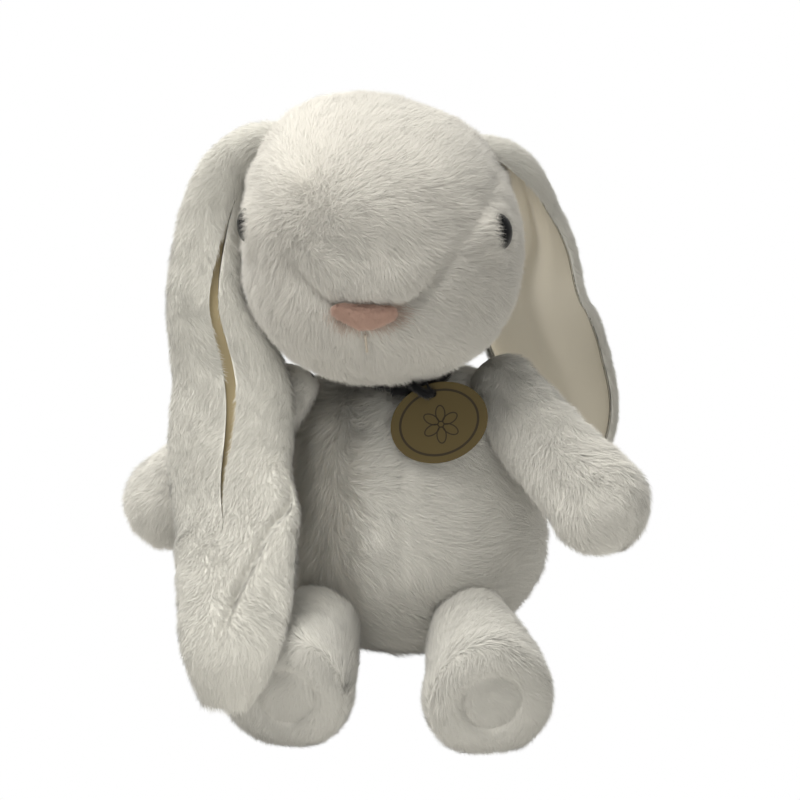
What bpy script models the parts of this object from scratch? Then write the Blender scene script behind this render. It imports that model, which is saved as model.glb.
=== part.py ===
"""Seated lop-eared plush rabbit, built as sewn panels, stuffing, trim and a hang tag.

Sizes are in metres, written as millimetres times MM.  +Z is up, the rabbit faces -Y and
its own left is +X.  The origin is the centre of the flat seat base, so the rabbit sits on
the plane Z = 0.  Pieces that move have their origin on their joint's axis.
"""
import math

import bmesh
import bpy
from mathutils import Matrix, Vector

MM = 0.001

# ---------------------------------------------------------------- driving dimensions
CLOTH = 2.4 * MM              # plush panel, backing and pressed pile together
EAR_CLOTH = 1.5 * MM          # the ears' plush outside, thinner than the body's
LINING = 1.0 * MM             # short-pile ear lining
LINING_GAP = 1.7 * MM         # room between an ear's outside and its lining
GAP = 0.5 * MM                # left between neighbouring pieces
ARM_ROOM = 1.6 * MM           # left around an arm where it meets the body
HIP_ROOM = 3.2 * MM           # left around a leg's root, so that the leg can swing
FILL_GAP = 1.1 * MM           # left between a panel and the stuffing behind it

TORSO_HALF_WIDTH = 64.5 * MM
TORSO_DEPTH_RATIO = 0.94      # half depth over half width
TORSO_FORWARD = -2 * MM       # the belly sits a little forward of the seat's centre
TORSO_WIDEST_Z = 50 * MM
TORSO_TOP_Z = 126 * MM
BASE_RADIUS = 27 * MM         # round panel the rabbit sits on

HEAD_CENTRE = Vector((-9, -12, 190.4)) * MM
HEAD_HALF = Vector((57.5, 61, 60)) * MM
GUSSET_DROP = 17 * MM         # the gusset's foot, by the nose, below the head's middle
GUSSET_HALF = 13 * MM         # its half width there
GUSSET_GROW = 66 * MM         # how much its half width grows over GUSSET_RISE
GUSSET_RISE = 90 * MM
NECK_AXIS = Vector((-3, -8, 128)) * MM
NECK_OPENING = 17 * MM

EYE_RADIUS = 8.2 * MM
EYE_SHANK_RADIUS = 2.2 * MM
EYE_DIRECTION = {"left": (51, -33, 12), "right": (-55, -27, 12)}
NOSE_HALF_WIDTH = 15 * MM
NOSE_DIRECTION = (-3, -63, -17.5)
CROWN_LEAN = 10 * MM          # the crown of the head leans this far to the right

ARM_LENGTH = 77 * MM          # shoulder pivot to the middle of the paw
ARM_ROOT_RADIUS = 15 * MM
PAW_RADIUS = 20 * MM
SHOULDER = {"left": Vector((44, -8, 120)) * MM, "right": Vector((-53, -8, 114)) * MM}
ARM_DROOP = {"left": 23, "right": 43}       # degrees below level
ARM_FORWARD = {"left": 53, "right": 0}      # degrees toward the front

LEG_ROOT_RADIUS = 14 * MM
FOOT_RADIUS = 25 * MM
HIP = Vector((33, -52, 25)) * MM
LEG_LENGTH = 75 * MM          # hip pivot to the sole
LEG_SPLAY = {"left": 8, "right": 6}       # degrees outward from straight ahead
SOLE_RADIUS = 17.5 * MM

TAIL_CENTRE = Vector((0, 74, 32)) * MM
TAIL_RADIUS = 15 * MM

RIBBON_RADIUS = 28 * MM
RIBBON_HEIGHT = 4.2 * MM
RIBBON_Z = 128.4 * MM
KNOT = Vector((11, -35.6, 130.4)) * MM
TAG_CENTRE = Vector((18, -47.5, 117.5)) * MM
TAG_HALF = (21.6 * MM, 17.4 * MM)
TAG_THICK = 1.6 * MM
TAG_LEAN = 22                 # degrees that the tag lies back on the chest
TAG_ROLL = 20                 # degrees that its long axis runs up to the rabbit's left
TAG_HOLE_RADIUS = 1.9 * MM
TAG_HOLE = Vector((-3.4, 12.6, 0)) * MM     # from the tag's centre, across and up its lean
CORD_RADIUS = 0.55 * MM

# Each ear's centre line from root to tip, with its half width and half depth there.
EAR_RIGHT_LINE = [
    (-67, -8, 229.5, 6, 5),
    (-79.5, -9, 215.5, 10.5, 7),
    (-86.5, -13, 192, 13, 9),
    (-87.5, -24, 161, 15.5, 10),
    (-76.5, -34, 126, 25.5, 9.5),
    (-73.5, -54, 95, 27, 9),
    (-67, -79, 76.5, 28, 8),
    (-63.5, -108, 65, 24.5, 7),
    (-62, -138, 48.5, 19, 6),
    (-64, -142, 27, 9, 4.5),
]
EAR_LEFT_LINE = [
    (44, 8, 222, 5, 5),
    (51, 14, 211, 8, 6),
    (56.5, 22, 196, 11, 8),
    (61, 28, 177, 16, 9),
    (66, 32, 151, 21, 9),
    (71.5, 38, 120, 24.5, 9),
    (77, 45, 92, 25, 8),
    (70, 51, 66, 21, 7),
    (60, 58, 45, 9, 4.5),
]
EAR_RIGHT_YAW = 0             # degrees that the ear's front turns outward
EAR_LEFT_YAW = -26
EAR_RIGHT_SLOT = 4            # half of the angle left open at the front of the rolled ear
EAR_LEFT_SLOT = 74            # the left ear is open, with its lining forward

TOY = "plush_rabbit"


# ---------------------------------------------------------------- scene and materials
def clear_scene():
    for obj in list(bpy.data.objects):
        bpy.data.objects.remove(obj, do_unlink=True)


def collection(name):
    made = bpy.data.collections.new(name)
    bpy.context.scene.collection.children.link(made)
    return made


def material(name, colour, roughness, metallic=0.0):
    mat = bpy.data.materials.new(name)
    mat.use_nodes = True
    shader = mat.node_tree.nodes["Principled BSDF"]
    shader.inputs["Base Color"].default_value = (*colour, 1.0)
    shader.inputs["Roughness"].default_value = roughness
    shader.inputs["Metallic"].default_value = metallic
    mat.diffuse_color = (*colour, 1.0)
    return mat


def add_object(name, mesh, mat):
    obj = bpy.data.objects.new(name, mesh)
    mesh.materials.append(mat)
    PARTS.objects.link(obj)
    return obj


def add_cutter(name, mesh):
    obj = bpy.data.objects.new(name, mesh)
    CUTTERS.objects.link(obj)
    obj.hide_render = True
    obj.display_type = "WIRE"
    return obj


def mesh_from(bm, name):
    bmesh.ops.recalc_face_normals(bm, faces=bm.faces)
    mesh = bpy.data.meshes.new(name)
    bm.to_mesh(mesh)
    bm.free()
    mesh.shade_smooth()
    return mesh


# ---------------------------------------------------------------- modelling helpers
def thicken(obj, thickness):
    mod = obj.modifiers.new("thickness", "SOLIDIFY")
    mod.thickness = thickness
    mod.offset = -1.0


def cut(obj, cutter, operation="DIFFERENCE"):
    mod = obj.modifiers.new(operation.lower(), "BOOLEAN")
    mod.operation = operation
    mod.solver = "EXACT"
    mod.object = cutter


def ball_mesh(name, shape, segments=20, rings=12):
    """A sphere whose every point is moved to where shape puts its direction."""
    bm = bmesh.new()
    bmesh.ops.create_uvsphere(bm, u_segments=segments, v_segments=rings, radius=1.0)
    for vert in bm.verts:
        vert.co = shape(vert.co.normalized())
    return mesh_from(bm, name)


def turned_mesh(name, profile, segments=20, flatten=1.0):
    """Turns (radius, height) points about Z; ends that are not on the axis stay open."""
    bm = bmesh.new()
    verts = [bm.verts.new((radius, 0.0, height)) for radius, height in profile]
    edges = [bm.edges.new(pair) for pair in zip(verts, verts[1:])]
    bmesh.ops.spin(bm, geom=verts + edges, cent=(0, 0, 0), axis=(0, 0, 1),
                   angle=2 * math.pi, steps=segments, use_merge=True)
    bmesh.ops.remove_doubles(bm, verts=bm.verts, dist=0.01 * MM)
    for vert in bm.verts:
        vert.co.y *= flatten
    return mesh_from(bm, name)


def tapered_box(name, low, high, top_grow=(0.0, 0.0)):
    """A box between two corners whose top face is wider by top_grow on each side."""
    bm = bmesh.new()
    bmesh.ops.create_cube(bm, size=1.0)
    for vert in bm.verts:
        top = vert.co.z > 0
        spot = Vector((high[i] if vert.co[i] > 0 else low[i] for i in range(3)))
        if top:
            spot.x += math.copysign(top_grow[0], vert.co.x)
            spot.y += math.copysign(top_grow[1], vert.co.y)
        vert.co = spot
    return mesh_from(bm, name)


def cylinder_mesh(name, radius, depth, segments=24):
    bm = bmesh.new()
    bmesh.ops.create_cone(bm, cap_ends=True, segments=segments, radius1=radius,
                          radius2=radius, depth=depth)
    return mesh_from(bm, name)


def sphere_mesh(name, radius, segments=20, rings=12):
    return ball_mesh(name, lambda n: n * radius, segments, rings)


def aim(direction, up=Vector((0, 1, 0))):
    """A rotation that turns +Z along direction, keeping +Y as near up as it can be."""
    z_axis = Vector(direction).normalized()
    x_axis = up.cross(z_axis)
    if x_axis.length < 1e-6:
        x_axis = Vector((1, 0, 0))
    x_axis.normalize()
    y_axis = z_axis.cross(x_axis)
    return Matrix((x_axis, y_axis, z_axis)).transposed().to_4x4()


def place(obj, where, turn=None):
    obj.matrix_world = Matrix.Translation(where) @ (turn or Matrix.Identity(4))
    return obj


def arc(centre, radius, start, end, steps):
    """Points (radius, height) on an arc in the turning plane; 0 degrees is outward."""
    points = []
    for i in range(steps + 1):
        angle = math.radians(start + (end - start) * i / steps)
        points.append((radius * math.cos(angle), centre + radius * math.sin(angle)))
    return points


def thread(name, points, radius, mat):
    """A sewn thread: a round wire through the points with closed ends."""
    curve = bpy.data.curves.new(name, "CURVE")
    curve.dimensions = "3D"
    curve.bevel_depth = radius
    curve.bevel_resolution = 1
    curve.use_fill_caps = True
    curve.render_resolution_u = 0
    spline = curve.splines.new("POLY")
    spline.points.add(len(points) - 1)
    for knot, point in zip(spline.points, points):
        knot.co = (*point, 1.0)
    curve.materials.append(mat)
    obj = bpy.data.objects.new(name, curve)
    PARTS.objects.link(obj)
    return obj


# ---------------------------------------------------------------- soft body shapes
def torso_point(n, inset=0.0):
    """Pear shape: broad at the seat, shoulders under the neck, flat underneath."""
    level = max(-1.0, min(1.0, n.z))
    across = math.sqrt(max(0.0, 1.0 - level * level))
    if level < 0:
        radius = across ** 0.8
        height = TORSO_WIDEST_Z * (1.0 - min(1.0, 1.1 * abs(level) ** 0.95))
    else:
        radius = (1.0 - 0.44 * level ** 1.5) * math.sqrt(1.0 - level ** 10)
        height = TORSO_WIDEST_Z + (TORSO_TOP_Z - TORSO_WIDEST_Z) * level
    flat = Vector((n.x, n.y, 0.0))
    if flat.length > 1e-9:
        flat.normalize()
    point = Vector((flat.x * radius * TORSO_HALF_WIDTH,
                    flat.y * radius * TORSO_HALF_WIDTH * TORSO_DEPTH_RATIO + TORSO_FORWARD,
                    height))
    middle = Vector((0.0, TORSO_FORWARD, TORSO_WIDEST_Z))
    shrink = 1.0 - inset / TORSO_WIDEST_Z
    return middle + (point - middle) * shrink


def head_point(n, inset=0.0):
    """A broad round head with full cheeks and a blunt muzzle low at the front."""
    cheek = math.exp(-((n.z + 0.32) / 0.38) ** 2) * abs(n.x)
    muzzle = math.exp(-((n.z + 0.22) ** 2 + n.x * n.x) / 0.16) if n.y < 0 else 0.0
    power = 2.35                  # 2 is an ellipsoid; more is a little squarer
    full = (abs(n.x) ** power + abs(n.y) ** power + abs(n.z) ** power) ** (-1.0 / power)
    point = Vector((n.x * full * HEAD_HALF.x * (1.0 + 0.05 * cheek),
                    n.y * full * HEAD_HALF.y - 3.0 * MM * muzzle,
                    n.z * full * HEAD_HALF.z))
    point.x -= CROWN_LEAN * max(0.0, n.z * full) ** 2
    return point * (1.0 - inset / HEAD_HALF.z)


def head_surface(direction):
    """The head's surface point and outward normal in a direction from its centre."""
    n = Vector(direction).normalized()
    side = n.orthogonal().normalized()
    other = n.cross(side)
    step = 0.02
    here = head_point(n)
    along = head_point((n + side * step).normalized()) - here
    across = head_point((n + other * step).normalized()) - here
    normal = along.cross(across).normalized()
    if normal.dot(n) < 0:
        normal.negate()
    return HEAD_CENTRE + here, normal


# ---------------------------------------------------------------- torso
def torso_shell(name):
    obj = add_object(name, ball_mesh(name, torso_point, 24, 16), PLUSH)
    thicken(obj, CLOTH)
    return obj


def build_torso(sockets):
    """Four body panels, the round base panel, the stuffing and the pellet pouch."""
    far = 200 * MM
    base_cutter = add_cutter("base_cutter", cylinder_mesh("base_cutter", BASE_RADIUS, 20 * MM))
    base_room = add_cutter("base_room",
                           cylinder_mesh("base_room", BASE_RADIUS + GAP, 20 * MM))
    neck_room = add_cutter("torso_neck_room",
                           cylinder_mesh("torso_neck_room", NECK_OPENING, 40 * MM))
    place(neck_room, (NECK_AXIS.x, NECK_AXIS.y, TORSO_TOP_Z))
    for side, x_low, x_high in (("left", GAP / 2, far), ("right", -far, -GAP / 2)):
        for face, y_low, y_high in (("front", -far, -GAP / 2), ("back", GAP / 2, far)):
            quarter = add_cutter(
                f"quarter_{face}_{side}",
                tapered_box(f"quarter_{face}_{side}", (x_low, y_low, -far), (x_high, y_high, far)))
            panel = torso_shell(f"body_{face}_{side}")
            cut(panel, quarter, "INTERSECT")
            cut(panel, base_room)
            cut(panel, neck_room)
            for socket in sockets:
                if socket.name.endswith(side):
                    cut(panel, socket)
    base = torso_shell("base_panel")
    cut(base, base_cutter, "INTERSECT")

    fill = add_object("body_stuffing", ball_mesh(
        "body_stuffing", lambda n: torso_point(n, CLOTH + FILL_GAP), 20, 12), STUFFING)
    pouch_z = 17 * MM
    pouch_half = Vector((26, 24, 10)) * MM
    pouch_room = add_cutter("pouch_room",
                            cylinder_mesh("pouch_room", pouch_half.x + 2 * MM, 60 * MM))
    place(pouch_room, (0, 0, pouch_z + pouch_half.z + 2 * MM - 30 * MM))
    cut(fill, pouch_room)
    for socket in sockets:
        cut(fill, socket)
    pouch = add_object("pellet_pouch", ball_mesh(
        "pellet_pouch",
        lambda n: Vector((n.x * pouch_half.x, n.y * pouch_half.y, n.z * pouch_half.z)),
        16, 8), POUCH)
    place(pouch, (0, 0, pouch_z))


def build_tail():
    """Round tail: an open cover sewn to the back, and its own ball of stuffing."""
    back = aim((0, 1, 0), Vector((0, 0, 1)))
    cover = add_object("tail_cover", turned_mesh(
        "tail_cover", arc(0, TAIL_RADIUS, -58, 90, 9), 16), PLUSH)
    thicken(cover, CLOTH)
    place(cover, TAIL_CENTRE, back)
    fill_radius = TAIL_RADIUS - CLOTH - GAP
    fill = add_object("tail_stuffing", sphere_mesh("tail_stuffing", fill_radius, 12, 8), STUFFING)
    place(fill, TAIL_CENTRE, back)


# ---------------------------------------------------------------- head
def build_head():
    """A wide centre gusset from nose to nape, two side panels and the stuffing."""
    reach = 120 * MM
    nose_level = HEAD_CENTRE.z - GUSSET_DROP
    low_half, grow = GUSSET_HALF, GUSSET_GROW
    low = (HEAD_CENTRE.x - low_half, -reach, nose_level)
    high = (HEAD_CENTRE.x + low_half, reach, nose_level + GUSSET_RISE)
    wedge = add_cutter("gusset_wedge", tapered_box("gusset_wedge", low, high, (grow, 0)))
    room_low = (low[0] - GAP, low[1], low[2] - GAP)
    room_high = (high[0] + GAP, high[1], high[2])
    wedge_room = add_cutter("gusset_room",
                            tapered_box("gusset_room", room_low, room_high, (grow, 0)))
    neck_room = add_cutter("head_neck_room",
                           cylinder_mesh("head_neck_room", NECK_OPENING, 40 * MM))
    place(neck_room, (NECK_AXIS.x, NECK_AXIS.y, NECK_AXIS.z))

    def shell(name):
        obj = add_object(name, ball_mesh(name, head_point, 24, 16), PLUSH)
        thicken(obj, CLOTH)
        return place(obj, HEAD_CENTRE)

    cut(shell("head_gusset"), wedge, "INTERSECT")
    fill = add_object("head_stuffing", ball_mesh(
        "head_stuffing", lambda n: head_point(n, CLOTH + FILL_GAP), 20, 12), STUFFING)
    place(fill, HEAD_CENTRE)
    for side, sign in (("left", 1), ("right", -1)):
        inner = HEAD_CENTRE.x + sign * GAP / 2
        outer = HEAD_CENTRE.x + sign * reach
        half = add_cutter(f"half_{side}", tapered_box(
            f"half_{side}", (min(inner, outer), -reach, 0), (max(inner, outer), reach, 0.4)))
        panel = shell(f"head_side_{side}")
        cut(panel, wedge_room)
        cut(panel, neck_room)
        cut(panel, half, "INTERSECT")
        build_eye(side, panel, fill)


def build_eye(side, panel, fill):
    """A black safety eye: dome and shank through the panel, locked by a washer inside."""
    spot, normal = head_surface(EYE_DIRECTION[side])
    turn = aim(normal)
    dome = arc(0, EYE_RADIUS, 0, 90, 6)
    dome = [(radius, height * 0.72) for radius, height in dome]
    shank_depth, rim = 9 * MM, 0.4 * MM
    profile = [(0, -shank_depth), (EYE_SHANK_RADIUS, -shank_depth), (EYE_SHANK_RADIUS, -rim),
               (EYE_RADIUS - 0.6 * MM, -rim)] + dome
    eye = add_object(f"eye_{side}", turned_mesh(f"eye_{side}", profile, 20), EYE)
    place(eye, spot + normal * 1.0 * MM, turn)

    hole = add_cutter(f"eye_hole_{side}",
                      cylinder_mesh(f"eye_hole_{side}", EYE_SHANK_RADIUS + GAP, 30 * MM, 16))
    place(hole, spot, turn)
    cut(panel, hole)
    pocket = add_cutter(f"eye_pocket_{side}",
                        cylinder_mesh(f"eye_pocket_{side}", 9 * MM, 40 * MM, 20))
    place(pocket, spot + normal * 9.5 * MM, turn)
    cut(fill, pocket)

    washer_out, washer_in = 7.5 * MM, EYE_SHANK_RADIUS + 0.2 * MM
    ring = [(washer_in, 0), (washer_out, 0), (washer_out, 1.4 * MM), (washer_in, 1.4 * MM),
            (washer_in, 0)]
    washer = add_object(f"eye_washer_{side}",
                        turned_mesh(f"eye_washer_{side}", ring, 20), WASHER)
    place(washer, spot - normal * 5.8 * MM, turn)


def build_nose():
    """A small padded triangle under the gusset's tip, and the stitched line below it."""
    spot, normal = head_surface(NOSE_DIRECTION)
    bm = bmesh.new()
    bmesh.ops.create_circle(bm, cap_ends=True, segments=18, radius=1.0)
    for vert in bm.verts:
        angle = math.atan2(vert.co.y, vert.co.x)
        corner = 0.80 + 0.20 * math.cos(3 * (angle + math.pi / 2))
        vert.co.x = math.cos(angle) * corner * NOSE_HALF_WIDTH * 1.08
        vert.co.y = math.sin(angle) * corner * NOSE_HALF_WIDTH * 0.62
    top = bmesh.ops.extrude_face_region(bm, geom=list(bm.faces))
    for item in top["geom"]:
        if isinstance(item, bmesh.types.BMVert):
            item.co.z += 3.2 * MM
            item.co.x *= 0.86
            item.co.y *= 0.86
    nose = add_object("nose", mesh_from(bm, "nose"), NOSE)
    place(nose, spot + normal * 1.6 * MM, aim(normal, Vector((0, 0, 1))))

    points = []
    for i in range(6):
        place_on, out = head_surface((NOSE_DIRECTION[0], -60, -27 - 2.4 * i))
        points.append(place_on + out * 1.2 * MM)
    thread("mouth_stitch", points, 0.5 * MM, THREAD)


# ---------------------------------------------------------------- ears
def ear_frame(line, t):
    """Smooth centre line through the listed stations: point, half width, half depth."""
    count = len(line) - 1
    index = min(int(t * count), count - 1)
    s = t * count - index
    stations = [line[max(0, min(count, index + k))] for k in (-1, 0, 1, 2)]
    values = []
    for a, b, c, d in zip(*stations):
        values.append(0.5 * (2 * b + (c - a) * s + (2 * a - 5 * b + 4 * c - d) * s * s
                             + (3 * b - a - 3 * c + d) * s ** 3))
    return Vector(values[:3]) * MM, values[3] * MM, values[4] * MM


def ear_point(line, yaw, t, angle, inset):
    """A point on the rolled ear; angle 0 is the front of the roll, 180 its back."""
    here, half_width, half_depth = ear_frame(line, t)
    step = 0.01
    ahead = ear_frame(line, min(1.0, t + step))[0]
    behind = ear_frame(line, max(0.0, t - step))[0]
    down = (ahead - behind).normalized()
    front = Vector((math.sin(yaw), -math.cos(yaw), 0))
    front = (front - down * front.dot(down)).normalized()
    across = front.cross(down)
    turn = math.radians(angle)
    return (here + across * math.sin(turn) * (half_width - inset)
            + front * math.cos(turn) * (half_depth - inset))


def build_ear(side, line, slot, yaw):
    """The plush outside and, nested within it, the lining; both open down the front."""
    root = Vector(line[0][:3]) * MM
    stations, columns = 16, 16
    edge = slot + 2
    for part, mat, thickness, inset, first, last in (
            ("outer", PLUSH, EAR_CLOTH, 0.0, 0, stations),
            ("lining", LINING_CLOTH, LINING, EAR_CLOTH + LINING_GAP, 1, stations - 2)):
        bm = bmesh.new()
        grid = []
        for i in range(first, last + 1):
            t = i / stations
            row = []
            for j in range(columns + 1):
                angle = edge + (360 - 2 * edge) * j / columns
                angle += 18 * math.sin(2 * math.radians(angle))   # crowds the folded edges
                row.append(bm.verts.new(ear_point(line, math.radians(yaw), t, angle, inset) - root))
            grid.append(row)
        for upper, lower in zip(grid, grid[1:]):
            for j in range(columns):
                bm.faces.new((upper[j], upper[j + 1], lower[j + 1], lower[j]))
        name = f"ear_{side}_{part}"
        mesh = mesh_from(bm, name)
        obj = add_object(name, mesh, mat)
        middle = mesh.polygons[(last - first) // 2 * columns + columns // 2]
        facing_back = middle.normal.y > 0
        thicken(obj, thickness if facing_back else -thickness)
        place(obj, root)


# ---------------------------------------------------------------- limbs
def limb_profile(root_radius, end_radius, length, inset, opening):
    """Root ball about the pivot, a taper, and a round end; opening trims the root."""
    first = -90 + opening
    points = arc(0, root_radius - inset, first, -10, 4)
    points += arc(length, end_radius - inset, -10, 90, 6)
    return points


def arm_turn(side, sign):
    """The rotation that lays an arm, built along +Z from its shoulder, in its rest pose."""
    droop, forward = math.radians(ARM_DROOP[side]), math.radians(ARM_FORWARD[side])
    along = Vector((sign * math.cos(droop) * math.cos(forward),
                    -math.cos(droop) * math.sin(forward), -math.sin(droop)))
    return aim(along, Vector((0, -1, 0)))


def build_arm(side, sign):
    """Front and back panels, open where they are sewn to the body, and the stuffing."""
    pivot = SHOULDER[side]
    turn = arm_turn(side, sign)
    length = ARM_LENGTH
    for face, y_low, y_high in (("front", GAP / 2, 0.1), ("back", -0.1, -GAP / 2)):
        name = f"arm_{side}_{face}"
        sleeve = add_object(name, turned_mesh(name, limb_profile(
            ARM_ROOT_RADIUS, PAW_RADIUS, length, 0.0, 38), 20, 0.93), PLUSH)
        thicken(sleeve, CLOTH)
        place(sleeve, pivot, turn)
        half = add_cutter(f"half_{name}", tapered_box(
            f"half_{name}", (-0.1, y_low, -0.1), (0.1, y_high, 0.2)))
        place(half, pivot, turn)
        cut(sleeve, half, "INTERSECT")
    fill = add_object(f"arm_{side}_stuffing", turned_mesh(
        f"arm_{side}_stuffing",
        limb_profile(ARM_ROOT_RADIUS, PAW_RADIUS, length, CLOTH + FILL_GAP * 0.7, 0),
        16, 0.91), STUFFING)
    place(fill, pivot, turn)


def build_leg(side, sign):
    """A leg tube open at the hip and at the sole, the round sole and the stuffing."""
    pivot = Vector((sign * HIP.x, HIP.y, HIP.z))
    splay = math.radians(LEG_SPLAY[side])
    along = Vector((sign * math.sin(splay), -math.cos(splay), 0))
    turn = aim(along, Vector((0, 0, 1)))
    corner = 7 * MM
    flank = FOOT_RADIUS - corner

    def profile(inset, opening):
        points = arc(0, LEG_ROOT_RADIUS - inset, -90 + opening, -5, 6)
        end = LEG_LENGTH - corner
        for i in range(5):
            angle = math.radians(90 * i / 4)
            points.append((flank + (corner - inset) * math.cos(angle),
                           end + (corner - inset) * math.sin(angle)))
        return points

    tube = profile(0.0, 40)
    tube[-1] = (SOLE_RADIUS + 2 * GAP, tube[-1][1])
    skin = add_object(f"leg_{side}_skin", turned_mesh(f"leg_{side}_skin", tube, 22), PLUSH)
    thicken(skin, CLOTH)
    place(skin, pivot, turn)

    sole_profile = [(0, LEG_LENGTH + 0.6 * MM), (SOLE_RADIUS * 0.6, LEG_LENGTH + 0.4 * MM),
                    (SOLE_RADIUS, LEG_LENGTH - 0.2 * MM), (SOLE_RADIUS, LEG_LENGTH - CLOTH),
                    (0, LEG_LENGTH - CLOTH)]
    sole = add_object(f"sole_{side}", turned_mesh(f"sole_{side}", sole_profile, 20), PLUSH)
    place(sole, pivot, turn)

    fill_profile = profile(CLOTH + FILL_GAP * 0.7, 0) + [(0, LEG_LENGTH - CLOTH - FILL_GAP * 0.7)]
    fill = add_object(f"leg_{side}_stuffing",
                      turned_mesh(f"leg_{side}_stuffing", fill_profile, 18), STUFFING)
    place(fill, pivot, turn)


def limb_sockets():
    """Rooms in the torso for the limbs' root balls, each about its own pivot."""
    rooms = []
    for side, sign in (("left", 1), ("right", -1)):
        hip = Vector((sign * HIP.x, HIP.y, HIP.z))
        for name, pivot, radius in (("shoulder", SHOULDER[side], ARM_ROOT_RADIUS + ARM_ROOM),
                                    ("hip", hip, LEG_ROOT_RADIUS + HIP_ROOM)):
            label = f"{name}_room_{side}"
            room = add_cutter(label, sphere_mesh(label, radius, 20, 12))
            room.location = pivot
            rooms.append(room)
        label = f"arm_room_{side}"
        room = add_cutter(label, turned_mesh(label, limb_profile(
            ARM_ROOT_RADIUS + ARM_ROOM, PAW_RADIUS + ARM_ROOM, ARM_LENGTH, 0.0, 0), 20))
        place(room, SHOULDER[side], arm_turn(side, sign))
        rooms.append(room)
    return rooms


# ---------------------------------------------------------------- trim
def build_ribbon():
    """The neck ribbon, its knot, the seam thread under it and the hanging tag."""
    thick = 1.0 * MM
    low, high = -RIBBON_HEIGHT / 2, RIBBON_HEIGHT / 2
    band = [(RIBBON_RADIUS - thick, low), (RIBBON_RADIUS, low), (RIBBON_RADIUS, high),
            (RIBBON_RADIUS - thick, high), (RIBBON_RADIUS - thick, low)]
    ribbon = add_object("neck_ribbon", turned_mesh("neck_ribbon", band, 36), RIBBON)
    place(ribbon, (NECK_AXIS.x, NECK_AXIS.y, RIBBON_Z))

    bm = bmesh.new()
    bmesh.ops.create_uvsphere(bm, u_segments=12, v_segments=8, radius=1.0)
    for vert in bm.verts:
        vert.co = Vector((vert.co.x * 3.6, vert.co.y * 2.2, vert.co.z * 2.6)) * MM
    knot = add_object("ribbon_knot", mesh_from(bm, "ribbon_knot"), RIBBON)
    place(knot, KNOT)

    seam = []
    stitches = 20
    for i in range(stitches * 2 - 2):
        angle = math.radians(90 + 360 * i / (stitches * 2))
        radius = NECK_OPENING + 3.2 * MM
        lift = 0.45 * MM * (1 if i % 2 else -1)
        seam.append(Vector((NECK_AXIS.x + radius * math.cos(angle),
                            NECK_AXIS.y + radius * math.sin(angle),
                            TORSO_TOP_Z + 1.6 * MM + lift)))
    thread("neck_seam_thread", seam, 0.4 * MM, THREAD)


def build_tag():
    """An oval card tag that hangs from the knot by a cord through its hole."""
    lean = Matrix.Rotation(math.radians(90 - TAG_LEAN), 4, "X")
    roll = Matrix.Rotation(math.radians(TAG_ROLL), 4, "Z")
    turn = lean @ roll
    bm = bmesh.new()
    bmesh.ops.create_cone(bm, cap_ends=True, segments=40, radius1=1.0, radius2=1.0,
                          depth=TAG_THICK)
    for vert in bm.verts:
        vert.co.x *= TAG_HALF[0]
        vert.co.y *= TAG_HALF[1]
    tag = add_object("hang_tag", mesh_from(bm, "hang_tag"), CARD)
    place(tag, TAG_CENTRE, turn)
    tag.data.shade_flat()

    hole_at = TAG_CENTRE + lean @ TAG_HOLE
    hole = add_cutter("tag_hole", cylinder_mesh("tag_hole", TAG_HOLE_RADIUS, 10 * MM, 16))
    place(hole, hole_at, turn)
    cut(tag, hole)

    face = lean.to_3x3() @ Vector((0, 0, 1))
    upward = lean.to_3x3() @ Vector((0, 1, 0))
    strand = [(-2.6, 4.2), (1.7, 4.4), (2.2, 2.0), (1.9, 0.0), (-1.9, 0.0), (-2.3, 1.4),
              (-3.6, 3.0)]            # (in front of the card, above its hole), in mm
    points = [hole_at + face * out * MM + upward * above * MM for out, above in strand]
    for i, point in enumerate(points):
        point.x += (KNOT.x - hole_at.x) * max(0.0, abs(i - 3.5) - 0.5) / 3
    thread("tag_cord", points, CORD_RADIUS, RIBBON)


def build_labels():
    """The blank sewn-in care label and the hand-closed seam up the middle of the back."""
    angle = math.radians(52)
    out = Vector((math.cos(angle), math.sin(angle), 0))
    reach = 64.5 * MM
    label = add_object("care_label", tapered_box(
        "care_label", Vector((-7, -0.5, -8)) * MM, Vector((7, 0.5, 8)) * MM), LABEL)
    place(label, out * reach + Vector((0, 0, 22 * MM)), aim((0, 0, 1), Vector((-out.y, out.x, 0))))

    points = []
    stitches = 16
    for i in range(stitches + 1):
        z = (0.30 + 0.42 * i / stitches)
        on_body = torso_point(Vector((0, math.sqrt(1 - z * z), z)))
        side = 0.9 * MM * (1 if i % 2 else -1)
        points.append(on_body + Vector((side, 1.3 * MM, 0.6 * MM)))
    thread("back_seam_thread", points, 0.4 * MM, THREAD)


clear_scene()
PARTS = collection(TOY)
CUTTERS = collection("cutters")
PLUSH = material("plush", (0.80, 0.77, 0.68), 0.95)
LINING_CLOTH = material("ear_lining", (0.74, 0.66, 0.50), 0.9)
STUFFING = material("stuffing", (0.86, 0.86, 0.84), 1.0)
POUCH = material("pellet_bag", (0.70, 0.70, 0.66), 0.8)
EYE = material("eye_plastic", (0.01, 0.01, 0.012), 0.08)
WASHER = material("washer_plastic", (0.75, 0.75, 0.73), 0.45)
NOSE = material("nose_cloth", (0.78, 0.42, 0.35), 0.8)
THREAD = material("thread", (0.72, 0.62, 0.55), 0.7)
RIBBON = material("ribbon", (0.012, 0.012, 0.013), 0.6)
CARD = material("tag_card", (0.16, 0.13, 0.07), 0.55)
LABEL = material("label_satin", (0.85, 0.84, 0.80), 0.4)

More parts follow.
